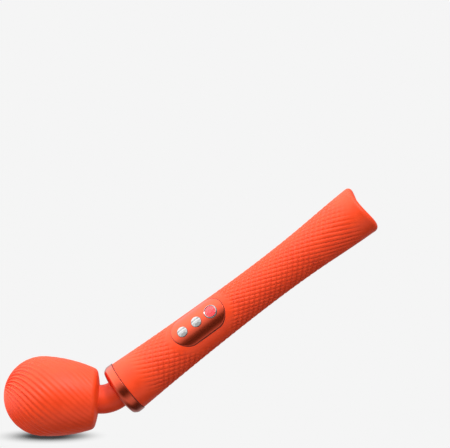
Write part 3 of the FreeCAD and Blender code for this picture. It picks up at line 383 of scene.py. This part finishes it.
# ---------------------------------------------------------------- handle sleeve
# heights over the seam, and the sleeve's radius there
STATION_Z = np.array([0, 35, 80, 125, 170, 205, 224.0])
STATION_R = np.array([19.7, 18.0, 16.4, 15.65, 16.7, 18.6, 19.0])
SLEEVE_WALL = 1.8
MOUTH_R, MOUTH_DEPTH, LIP_ROUND, LIP_BEVEL = 16.9, 1.4, 0.35, 0.1
TAIL_MIDDLE, TAIL_SCOOP_R, TAIL_TILT, TAIL_EDGE_R = 215.8, 46.0, radians(3.6), 3.2
TAIL_HOLE_R, TAIL_HOLE_FLOOR, TAIL_SIDE_Z, LINING_END = 7.6, 211.1, 218.0, 208
ROWS_ROUND, ROW_COLS, ROW_PITCH = 30, 8, 7.76
CROSS_ROUND, CROSS_PITCH = 16, 4.95
GROOVE, CROSS_GROOVE = 0.50, 0.80
ROW_WIDTH, CROSS_WIDTH, WHERE_BOTH = 0.17, 0.15, 0.3
# where the grooves begin and end along the handle, and how far off the panel
ROW_RISE, CROSS_RISE, PANEL_CLEAR = (9, 22), (14, 27), (2.5, 8.0)
GROOVE_END, CROSS_END = (194, 211), (158, 184)
CROSS_SIDE = 0.1, 0.45  # cosine from the upper side over which the cross grooves go on to the tail
UPPER_TURN = radians(60)
PANEL_FROM, PANEL_TO, PANEL_HALF = 48.4, 92.5, 12.0
WINDOW_GAP = 0.4
PLUG_FROM, PLUG_TO = 4.0, 30.0  # how far from the axis a hole's cutter starts and ends
FAR_OFF = 99.0


def spline(x, xs, ys):
    """Cubic spline through the stations, free at both ends."""
    n = len(xs)
    gap = np.diff(xs)
    matrix, right = np.eye(n), np.zeros(n)
    for k in range(1, n - 1):
        matrix[k, k - 1:k + 2] = gap[k - 1], 2 * (gap[k - 1] + gap[k]), gap[k]
        right[k] = 6 * ((ys[k + 1] - ys[k]) / gap[k] - (ys[k] - ys[k - 1]) / gap[k - 1])
    bend = np.linalg.solve(matrix, right)
    k = np.clip(np.searchsorted(xs, x) - 1, 0, n - 2)
    left, rest = x - xs[k], xs[k + 1] - x
    curve = (bend[k] * rest**3 + bend[k + 1] * left**3) / (6 * gap[k])
    rest_slope = ys[k] / gap[k] - bend[k] * gap[k] / 6
    left_slope = ys[k + 1] / gap[k] - bend[k + 1] * gap[k] / 6
    return curve + rest_slope * rest + left_slope * left


def sleeve_r(z):
    """Radius of the sleeve at a height over the seam."""
    return spline(np.asarray(z, float), STATION_Z, STATION_R)


def scoop(x, y):
    """Height of the tail face over local x and y."""
    return TAIL_MIDDLE + x * tan(TAIL_TILT) + TAIL_SCOOP_R - np.sqrt(TAIL_SCOOP_R**2 - y**2)


def from_panel(x, y, z):
    """Distance outside the control panel's outline, and FAR_OFF on the handle's other side."""
    middle, half = (PANEL_FROM + PANEL_TO) / 2, (PANEL_TO - PANEL_FROM) / 2 - PANEL_HALF
    gap = np.hypot(np.maximum(np.abs(z - middle) - half, 0), y) - PANEL_HALF
    return np.where(x > 0, gap, FAR_OFF)


def valley(phase, width):
    """1 in the middle of a groove, at whole numbers of phase, and 0 between grooves."""
    return np.exp(-((phase - np.round(phase)) / width) ** 2)


def relief(angle, z, r):
    """Depth of the grooves at a place on the sleeve."""
    rows = ROWS_ROUND * angle / (2 * pi) - z / ROW_PITCH
    cross = CROSS_ROUND * angle / (2 * pi) + z / CROSS_PITCH
    upper = np.cos(angle + UPPER_TURN)
    off_panel = from_panel(r * np.cos(angle), r * np.sin(angle), z)
    clear = ease(*PANEL_CLEAR, off_panel) * (1 - ease(*GROOVE_END, z))
    row_depth = GROOVE * ease(*ROW_RISE, z) * clear
    tail_only = 1 - ease(*CROSS_END, z) * (1 - ease(*CROSS_SIDE, upper))
    cross_depth = CROSS_GROOVE * ease(*CROSS_RISE, z) * clear * tail_only
    a, b = row_depth * valley(rows, ROW_WIDTH), cross_depth * valley(cross, CROSS_WIDTH)
    return np.maximum(a, b) + WHERE_BOTH * np.minimum(a, b)


def stadium_loop(half, count):
    """(y, z) points round the panel's outline, at a half width."""
    z0, z1 = PANEL_FROM + PANEL_HALF, PANEL_TO - PANEL_HALF
    straight = z1 - z0
    around = 2 * straight + 2 * pi * half
    out = []
    for s in np.linspace(0, around, count, endpoint=False):
        if s < straight:
            out.append((half, z0 + s))
        elif s < straight + pi * half:
            a = (s - straight) / half
            out.append((half * cos(a), z1 + half * sin(a)))
        elif s < 2 * straight + pi * half:
            out.append((-half, z1 - (s - straight - pi * half)))
        else:
            a = (s - 2 * straight - pi * half) / half
            out.append((-half * cos(a), z0 - half * sin(a)))
    return np.array(out)


def plug(name, loop):
    """Solid with a (y, z) outline, from near the handle's axis out past the panel, to cut a hole with."""
    count = len(loop)
    both = np.vstack([np.column_stack([np.full(count, x), loop]) for x in (PLUG_FROM, PLUG_TO)])
    return make(name, on_handle(*both.T), wrap(2, count).tolist() + end_faces(2, count))


def sleeve_ring(r, angle, z):
    """World places at a radius, a turn about the handle's axis and a height over the seam."""
    return on_handle(r * np.cos(angle), r * np.sin(angle), z)


def sleeve_skin():
    """Grooved sleeve with a scooped tail. Its columns spin so that they lie on the row grooves."""
    cols = ROWS_ROUND * ROW_COLS
    spin_end = 205.0
    shift = round(spin_end * cols / (ROWS_ROUND * ROW_PITCH))
    spin = shift * 2 * pi / cols / spin_end
    start = 2 * pi * np.arange(cols)[None, :] / cols
    end = start + spin * spin_end

    # outside, from just behind the seam to the start of the tail's rounding
    z = np.linspace(LIP_ROUND, spin_end, 338)[:, None] + 0 * start
    angle = start + spin * z
    r = sleeve_r(z)
    r = r - relief(angle, z, r)
    lip_r = sleeve_r(np.array(0.0))
    rings = [sleeve_ring(lip_r - LIP_ROUND, start, 0 * start)]
    rings.append(sleeve_ring(lip_r - LIP_BEVEL, start, 0 * start + LIP_BEVEL))
    rings += list(sleeve_ring(r, angle, z))

    # rounding of the tail rim, worked out in each upright plane through the axis
    side = sleeve_r(np.full_like(end, TAIL_SIDE_Z)) - TAIL_EDGE_R
    x, y = side * np.cos(end), side * np.sin(end)
    stretch = 0.01
    slope = (scoop(x * (1 + stretch), y * (1 + stretch)) - scoop(x, y)) / (side * stretch)
    centre = scoop(x, y) - TAIL_EDGE_R * np.sqrt(1 + slope**2)
    for share in np.linspace(0, 1, 24)[1:-1]:
        zz = spin_end + (centre - spin_end) * share
        blend = ease(0.6, 1.0, share)
        rr = sleeve_r(zz) * (1 - blend) + (side + TAIL_EDGE_R) * blend
        rings.append(sleeve_ring(rr - relief(end, zz, rr), end, zz))
    stop = np.arctan2(1.0, -slope)
    for share in np.linspace(0, 1, 9):
        a = stop * share
        rings.append(sleeve_ring(side + TAIL_EDGE_R * np.cos(a), end, centre + TAIL_EDGE_R * np.sin(a)))
    edge_r = side + TAIL_EDGE_R * np.cos(stop)
    for share in (0.33, 0.66, 0.95, 1.0):
        rr = edge_r + (TAIL_HOLE_R - edge_r) * share
        rings.append(sleeve_ring(rr, end, scoop(rr * np.cos(end), rr * np.sin(end))))

    # hole in the tail, inside wall, mouth
    rings.append(sleeve_ring(TAIL_HOLE_R, end, TAIL_HOLE_FLOOR + 0 * end))
    for zz in (TAIL_HOLE_FLOOR, *np.linspace(LINING_END, 4, 10), MOUTH_DEPTH):
        rings.append(sleeve_ring(float(sleeve_r(zz)) - SLEEVE_WALL, end, zz + 0 * end))
    for zz in (MOUTH_DEPTH, 0.0):
        rings.append(sleeve_ring(MOUTH_R, end, zz + 0 * end))
    points = np.array([np.reshape(ring, (cols, 3)) for ring in rings])
    piece = make("handle_skin", points, wrap(len(points), cols, close_rows=True, shift=shift), sharp=50)
    cut(piece, [plug("window", stadium_loop(PANEL_HALF + WINDOW_GAP, 96))], 50)
    return piece


dress(sleeve_skin(), "silicone_orange", ["handle_sleeve"], "handle")


# ---------------------------------------------------------------- trim ring
RING_R, RING_SEAM, RING_EDGE_R = 20.4, -0.4, 0.2


def ring_band():
    """Straight band that curves in toward the neck, hollow behind."""
    outline = [(MOUTH_R, RING_SEAM), (RING_R - RING_EDGE_R, RING_SEAM)]
    outline += arc((RING_R - RING_EDGE_R, RING_SEAM - RING_EDGE_R), RING_EDGE_R, 90, 0, 5)[1:]
    outline += [(RING_R, -4.6)] + three_point((RING_R, -4.6), (20.05, -6.1), (19.35, -7.3), 12)[1:]
    outline += three_point((19.35, -7.3), (18.65, -8.3), (17.2, -8.95), 12)[1:]
    outline += three_point((17.2, -8.95), (14.2, -9.65), (11.3, -9.9), 14)[1:]
    outline += [(11.3, -8.3), (16.0, -7.7), (MOUTH_R, -7.0)]
    return turned("trim_band", fine(outline, 0.7), on_handle, cols=240)


dress(ring_band(), "anodised_orange", ["trim_ring"], "handle")


# ---------------------------------------------------------------- control panel
MINUS_AT, PLUS_AT, POWER_AT = 57.0, 69.5, 82.3
SMALL_HOLE_R, POWER_HOLE_R = 4.1, 5.2
PLATE_PROUD, PLATE_DEPTH, PLATE_EDGE = 0.5, 1.4, 0.35
PLATE_HEART = 0.05  # half width of the slit in the plate's middle that one long face closes


def panel_plate():
    """Crowned plate with rounded edges and three button holes."""
    cols = 320
    loop = stadium_loop(PANEL_HALF, cols)
    spine_z = np.clip(loop[:, 1], PANEL_FROM + PANEL_HALF, PANEL_TO - PANEL_HALF)
    spine = np.column_stack([np.zeros(cols), spine_z])
    away = (loop - spine) / PANEL_HALF
    top = rounded_rim(PLATE_HEART, PANEL_HALF, PLATE_EDGE, 26, 7)
    under = [(reach, PLATE_DEPTH) for reach in np.linspace(PANEL_HALF, PLATE_HEART, 14)]
    rows = []
    for reach, drop in top + under:
        y, z = (spine + away * reach).T
        rows.append(on_handle(np.sqrt((sleeve_r(z) + PLATE_PROUD) ** 2 - y**2) - drop, y, z))
    piece = make("control_plate", np.array(rows), wrap(len(rows), cols).tolist() + end_faces(len(rows), cols))
    cutters = []
    for place, r in ((MINUS_AT, SMALL_HOLE_R), (PLUS_AT, SMALL_HOLE_R), (POWER_AT, POWER_HOLE_R)):
        a = np.linspace(0, 2 * pi, 96, endpoint=False)
        cutters.append(plug("hole", np.column_stack([r * np.cos(a), place + r * np.sin(a)])))
    cut(piece, cutters)
    return piece


dress(panel_plate(), "anodised_orange", ["control_panel"], "handle")


# ---------------------------------------------------------------- buttons
SMALL_R, BEZEL_R, JEWEL_R = 4.0, 5.1, 4.22
CAP_PROUD, CAP_RIM, CAP_MIDDLE = 0.9, 0.3, 0.02
SEAT, FLANGE_T, FLANGE_OUT = 12.6, 0.6, 0.9
FACETS, TABLE_SHARE, SMALL_SLOPE, JEWEL_SLOPE = 8, 0.35, 0.28, 0.24
BEZEL_DEPTH, JEWEL_DEPTH = 2.2, 2.1
SMALL_GROOVE, GROOVE_PLACE, GROOVE_HALF = 0.32, 0.30, 0.24  # the last two are shares of the cap's radius


def crown_top(place):
    """Distance of a cap's top from the handle's axis."""
    return float(sleeve_r(place)) + PLATE_PROUD + CAP_PROUD


def cap(name, place, r, slope, groove, foot):
    """Cut-glass cap: facets that fall away from a flat middle, a rounded rim, a groove along the handle."""
    cols = 120
    a = np.linspace(0, 2 * pi, cols, endpoint=False)
    turns = 2 * pi * (np.arange(FACETS) + 0.5) / FACETS
    rows = []
    for reach, drop in rounded_rim(CAP_MIDDLE, r, CAP_RIM, 30, 6):
        y, z = reach * np.cos(a), reach * np.sin(a)
        facet = np.max(y[:, None] * np.cos(turns) + z[:, None] * np.sin(turns), axis=1)
        high = crown_top(place) - slope * np.maximum(facet - TABLE_SHARE * r, 0) - drop
        high = high - groove * np.clip(1 - np.abs(y + GROOVE_PLACE * r) / (GROOVE_HALF * r), 0, 1)
        rows.append(on_handle(high, y, place + z))
    for reach, high in foot:
        rows.append(on_handle(np.full(cols, high), reach * np.cos(a), place + reach * np.sin(a)))
    return make(name, np.array(rows), wrap(len(rows), cols).tolist() + end_faces(len(rows), cols), sharp=4)


def small_cap(name, place):
    """Grooved cap with a flange under the panel."""
    flange_r, flange_top = SMALL_R + FLANGE_OUT, SEAT + FLANGE_T
    foot = [(SMALL_R, flange_top), (flange_r, flange_top), (flange_r, SEAT), (CAP_MIDDLE, SEAT)]
    return cap(name, place, SMALL_R, SMALL_SLOPE, SMALL_GROOVE, foot)


def power_bezel():
    """Bright ring with a floor under the lens and a flange under the panel."""
    top, hole_r, axis_r = crown_top(POWER_AT), 4.3, 0.05
    flange_r, flange_top = BEZEL_R + FLANGE_OUT, SEAT + FLANGE_T
    floor_z = top - BEZEL_DEPTH
    outline = [(hole_r, floor_z), (hole_r, top - 0.75), (4.55, top - 0.62), (4.9, top - 0.85)]
    outline += [(BEZEL_R, top - 1.1), (BEZEL_R, flange_top), (flange_r, flange_top), (flange_r, SEAT)]
    outline += [(axis_r, SEAT), (axis_r, floor_z)]
    return turned("cap_power", fine(outline, 0.5), lambda x, y, z: on_handle(z, x, POWER_AT + y), cols=120)


def jewel():
    """Lens that fills the bezel."""
    under = crown_top(POWER_AT) - JEWEL_DEPTH
    return cap("lens_power", POWER_AT, JEWEL_R, JEWEL_SLOPE, 0.0, [(JEWEL_R, under), (CAP_MIDDLE, under)])


dress(small_cap("cap_minus", MINUS_AT), "chromed_caps", ["button_minus"], "minus_button")
dress(small_cap("cap_plus", PLUS_AT), "chromed_caps", ["button_plus"], "plus_button")
dress(power_bezel(), "chromed_caps", ["button_power"], "power_button")
dress(jewel(), "red_lens", ["button_power_lens"], "power_button")


# ---------------------------------------------------------------- neck
NECK_BEND_R = 20.0
NECK_R, NECK_BORE_R, NECK_FLANGE_R, NECK_FLANGE_T = 10.7, 8.9, 12.9, 2.2
NECK_REAR, NECK_FRONT = 14.9, 16.0  # from the neck's corner to its ends
reach_t = NECK_BEND_R * tan(BEND_HALF)
toward = (tail_way + tip_way) / np.linalg.norm(tail_way + tip_way)
bend_middle = pivot + toward * NECK_BEND_R / cos(BEND_HALF)
first_out = (pivot + tail_way * reach_t - bend_middle) / NECK_BEND_R
chord = (tail_way - tip_way) / np.linalg.norm(tail_way - tip_way)
# who carries the neck, by distance from its corner along the chord, from the handle's side to the head's; a
# zone that names two bodies is put on neither and stays where it is
NEAR, FAR, PAST_END = 2.9, 9.5, 99.0
ZONES = (
    ("handle", FAR, PAST_END),
    (("handle", "neck_rear"), NEAR, FAR),
    (("neck_rear", "neck_front"), -NEAR, NEAR),
    (("neck_front", "head"), -FAR, -NEAR),
    ("head", -PAST_END, -FAR),
)


def neck_station(s):
    """Centre, and direction away from the bend's middle, at s mm from the bend's start toward the head."""
    if s < 0:
        return pivot + tail_way * (reach_t - s), first_out
    bend = min(s / NECK_BEND_R, 2 * BEND_HALF)
    out = cos(bend) * first_out - sin(bend) * tail_way
    centre = bend_middle + NECK_BEND_R * out
    past = s - 2 * BEND_HALF * NECK_BEND_R
    return centre + tip_way * max(past, 0.0), out


def neck_tube():
    """Closed bent tube with a flange at each end, as rings along the neck."""
    cols = 144
    length = 2 * BEND_HALF * NECK_BEND_R
    first, last = -(NECK_REAR - reach_t), length + (NECK_FRONT - reach_t)
    rear_step, front_step = first + NECK_FLANGE_T, last - NECK_FLANGE_T
    outline = [(first, NECK_FLANGE_R), (rear_step, NECK_FLANGE_R)]
    outline += [(s, NECK_R) for s in np.linspace(rear_step, front_step, 84)]
    outline += [(front_step, NECK_FLANGE_R), (last, NECK_FLANGE_R)]
    outline += [(s, NECK_BORE_R) for s in np.linspace(last, first, 60)]
    a = np.linspace(0, 2 * pi, cols, endpoint=False)[:, None]
    rings = []
    for s, r in outline:
        centre, out = neck_station(s)
        rings.append(centre + r * (np.cos(a) * out + np.sin(a) * across))
    return make("neck_tube", np.array(rings), wrap(len(rings), cols, close_rows=True), sharp=40)


def slice_at(work, distance, **clear):
    """Cuts a bmesh across the neck, at a distance from its corner along the chord."""
    everything = work.verts[:] + work.edges[:] + work.faces[:]
    at = Vector((pivot + chord * distance) * MM)
    bmesh.ops.bisect_plane(work, geom=everything, dist=1e-8, plane_co=at, plane_no=Vector(chord), **clear)


def share_out(name, source, slot, node):
    """Cuts a piece that follows the neck into five, hands the two end pieces to the handle and the head, and
    leaves the three between fixed where they are, cut across more finely.
    """
    for zone, (bodies, low, high) in enumerate(ZONES):
        work = bmesh.new()
        work.from_mesh(source)
        slice_at(work, low, clear_inner=True, clear_outer=False)
        slice_at(work, high, clear_inner=False, clear_outer=True)
        if isinstance(bodies, tuple):
            for level in np.linspace(low, high, 8)[1:-1]:
                slice_at(work, level)
        if not work.faces:
            work.free()
            continue
        mesh = bpy.data.meshes.new(name)
        work.to_mesh(mesh)
        work.free()
        shade(mesh, 40)
        piece = bpy.data.objects.new(f"{name}_{zone}", mesh)
        bpy.context.scene.collection.objects.link(piece)
        dress(piece, slot, [node])
        if isinstance(bodies, tuple):
            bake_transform(piece)
        else:
            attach(piece, bodies)


tube = neck_tube()
share_out("neck_skin", tube.data, "silicone_orange", "neck_sleeve")
bpy.data.objects.remove(tube)
share_out("neck_filling", frame["nodes"]["neck_core"].data, "neck_rubber", "neck_core")
share_out("motor_wires", frame["nodes"]["motor_leads"].data, "lead_insulation", "motor_leads")

# ---------------------------------------------------------------- every other CAD node
for node in frame["nodes"].values():
    if node.hide_render:
        continue
    slot = node.data.materials[0].name.split(".")[0]
    node.data.materials[0] = looks[slot]

# ---------------------------------------------------------------- stage
# lengths in metres from here on
BACKGROUND = 0.913
STAGE_R, DOME_WALL, FLOOR_DROP = 12.0, 0.1, 0.0002
# painted shadow under the head: the floor's glow is dimmed by ambient occlusion and by nearness to a fixed
# point under the head, not cast by a lamp
SHADOW_REACH, SHADOW_CORE = 0.030, (0.012, 0.050)
ROOM_SPAN = 0.20, 0.85  # share of open sky over the floor, from the darkest place to no shadow
PAINTED_SHADOW_DARKEST = 0.05


def plain(name, glow):
    """Stage material that glows evenly."""
    material = bpy.data.materials.new(name)
    material.use_nodes = True
    nodes, links = material.node_tree.nodes, material.node_tree.links
    nodes.remove(nodes["Principled BSDF"])
    emit = nodes.new("ShaderNodeEmission")
    emit.inputs["Strength"].default_value = glow
    links.new(emit.outputs[0], nodes["Material Output"].inputs["Surface"])
    return material


def stage_disc(name, height, radius, material):
    count = 64
    a = np.linspace(0, 2 * pi, count, endpoint=False)
    points = np.column_stack([radius * np.cos(a), radius * np.sin(a), np.full(count, height)]) / MM
    disc = make(name, points, [list(range(count))])
    disc.data.materials.append(material)
    return disc


def floor_with_painted_shadow():
    """Pale floor with an even glow of its own and a painted shadow: the glow is dimmed where the head leaves
    little room above it, most near a fixed point under the head.
    """
    material = plain("floor", BACKGROUND)
    nodes, links = material.node_tree.nodes, material.node_tree.links
    # painted shadow: ambient occlusion dims the glow where the head is near the floor
    room = nodes.new("ShaderNodeAmbientOcclusion")
    room.inputs["Distance"].default_value = SHADOW_REACH
    gap = nodes.new("ShaderNodeVectorMath")
    gap.operation = "DISTANCE"
    gap.inputs[1].default_value = tuple(MM * (pivot + tip_way * HEAD_CENTRE) * (1, 1, 0))
    place = nodes.new("ShaderNodeNewGeometry")
    links.new(place.outputs["Position"], gap.inputs[0])
    # painted shadow: the glow sinks to its darkest near a fixed point under the head's middle
    darkest = span(nodes, *SHADOW_CORE, PAINTED_SHADOW_DARKEST, BACKGROUND, "SMOOTHSTEP")
    links.new(gap.outputs["Value"], darkest.inputs["Value"])
    glow = span(nodes, *ROOM_SPAN, 0.0, BACKGROUND)
    links.new(darkest.outputs["Result"], glow.inputs["To Min"])
    links.new(room.outputs["AO"], glow.inputs["Value"])
    links.new(glow.outputs["Result"], nodes["Emission"].inputs["Strength"])
    return material


def dome_shell():
    """Dome from just under the floor to just short of the zenith, as a thin closed shell."""
    climb = np.linspace(-0.05, pi / 2 - 0.01, 40)
    outline = []
    for r, angles in ((STAGE_R - 2 * DOME_WALL, climb), (STAGE_R - DOME_WALL, climb[::-1])):
        outline += [(r * cos(a) / MM, r * sin(a) / MM) for a in angles]
    return turned("dome", outline, in_world, cols=64)


floor = stage_disc("floor", -FLOOR_DROP, STAGE_R, floor_with_painted_shadow())
dome = dome_shell()
dome.data.materials.append(plain("dome", BACKGROUND))
for shown in (floor, dome):
    shown.visible_diffuse = False
    shown.visible_glossy = False
    shown.visible_transmission = False
    shown.visible_shadow = False


# (degrees about the handle, from the camera's side toward the handle's upper side; brightness)
LIGHT_BANDS = (
    (-180, 0.14), (-140, 0.16), (-110, 0.03), (-84, 0.02), (-62, 0.28), (-46, 0.38), (-30, 0.18), (-18, 0.02),
    (8, 0.03), (26, 0.38), (46, 0.62), (66, 0.95), (92, 1.0), (124, 0.78), (150, 0.34), (180, 0.15),
)
LIGHT_STRENGTH, POLE_LEVEL, POLE_SPAN = 2.75, 0.22, (0.75, 0.98)


def studio():
    """Soft boxes and dark flags as bands of light around the handle's axis, even toward its two ends."""
    world = bpy.data.worlds.new("studio")
    bpy.context.scene.world = world
    world.use_nodes = True
    nodes, links = world.node_tree.nodes, world.node_tree.links
    ray = nodes.new("ShaderNodeTexCoord")

    def along(direction):
        dot = nodes.new("ShaderNodeVectorMath")
        dot.operation = "DOT_PRODUCT"
        dot.inputs[1].default_value = direction
        links.new(ray.outputs["Generated"], dot.inputs[0])
        return dot.outputs["Value"]

    angle = nodes.new("ShaderNodeMath")
    angle.operation = "ARCTAN2"
    links.new(along(grip_up), angle.inputs[0])
    links.new(along(-across), angle.inputs[1])
    share = span(nodes, -pi, pi)
    links.new(angle.outputs[0], share.inputs["Value"])
    bands = nodes.new("ShaderNodeValToRGB")
    bands.color_ramp.interpolation = "EASE"
    stops = bands.color_ramp.elements
    while len(stops) > 1:
        stops.remove(stops[-1])
    for k, (degrees, level) in enumerate(LIGHT_BANDS):
        stop = stops[0] if k == 0 else stops.new((degrees + 180) / 360)
        stop.color = (level, level, level, 1)
    links.new(share.outputs["Result"], bands.inputs["Fac"])
    pole = span(nodes, *POLE_SPAN, kind="SMOOTHSTEP")
    either_end = nodes.new("ShaderNodeMath")
    either_end.operation = "ABSOLUTE"
    links.new(along(tail_way), either_end.inputs[0])
    links.new(either_end.outputs[0], pole.inputs["Value"])
    mix = nodes.new("ShaderNodeMix")
    mix.data_type = "RGBA"
    links.new(pole.outputs["Result"], mix.inputs["Factor"])
    links.new(bands.outputs["Color"], mix.inputs["A"])
    mix.inputs["B"].default_value = (POLE_LEVEL, POLE_LEVEL, POLE_LEVEL, 1)
    back = nodes["Background"]
    back.inputs["Strength"].default_value = LIGHT_STRENGTH
    links.new(mix.outputs["Result"], back.inputs["Color"])


studio()


def sun(name, toward_light, power, spread):
    """Distant lamp, with its apparent size as a spread in degrees."""
    lamp = bpy.data.lights.new(name, "SUN")
    lamp.energy = power
    lamp.angle = radians(spread)
    holder = bpy.data.objects.new(name, lamp)
    holder.rotation_euler = Vector(toward_light).to_track_quat("Z", "Y").to_euler()
    bpy.context.scene.collection.objects.link(holder)


sun("key", (0.36, -0.55, 0.74), 1.6, 16)

# ---------------------------------------------------------------- camera
eye = bpy.data.cameras.new("camera")
eye.lens, eye.sensor_width, eye.sensor_fit = 200, 36, "HORIZONTAL"
eye.clip_start, eye.clip_end = 0.01, 100
camera = bpy.data.objects.new("camera", eye)
bpy.context.scene.collection.objects.link(camera)
LOOK_AT, EYE_FAR, EYE_TILT = Vector((0.02575, 0, 0.1571)), 1.84, radians(4.0)
toward_eye = Vector((0, -cos(EYE_TILT), sin(EYE_TILT)))
camera.location = LOOK_AT + toward_eye * EYE_FAR
camera.rotation_euler = toward_eye.to_track_quat("Z", "Y").to_euler()
bpy.context.scene.camera = camera
bpy.context.scene.view_settings.view_transform = "Standard"
